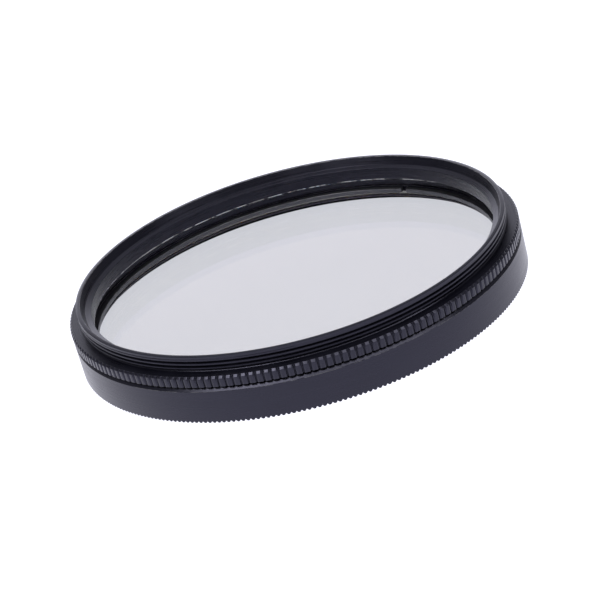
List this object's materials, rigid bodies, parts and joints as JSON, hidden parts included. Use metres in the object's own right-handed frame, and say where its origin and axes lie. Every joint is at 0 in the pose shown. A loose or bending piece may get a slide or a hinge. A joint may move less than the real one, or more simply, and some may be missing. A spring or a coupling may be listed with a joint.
{
  "type": "rotating polarising lens filter",
  "caption": "Round screw-in camera lens filter with grey polarising glass, a knurled rear ring with a male thread, and a toothed front ring that turns on it to set the polariser.",
  "frame": {"origin": "centre of the front edge that the filter lies on", "axes": "+Z along the optical axis, from the front edge to the thread that goes into the lens"},
  "size_m": [0.0808, 0.0808, 0.0111],
  "materials": {
    "rear_ring_metal": "black anodised, satin",
    "front_ring_metal": "black anodised, satin",
    "retaining_ring_steel": "blackened, satin",
    "spring_wire_steel": "drawn wire",
    "filter_glass": "polished, coated",
    "polariser_film": "clear neutral grey film",
    "retarder_film": "clear film"
  },
  "bodies": {
    "rear_mount": {"rear_ring": "rear_ring_metal"},
    "front_cell": {"front_ring": "front_ring_metal", "retaining_ring": "retaining_ring_steel", "snap_wire": "spring_wire_steel", "front_glass": "filter_glass", "polarising_film": "polariser_film", "quarter_wave_film": "retarder_film", "rear_glass": "filter_glass"}
  },
  "joints": [
    {"name": "front_ring_turn", "type": "hinge", "parent": "rear_mount", "child": "front_cell", "pos_m": [0, 0, 0.0058], "axis": [0, 0, 1], "continuous": true}
  ]
}
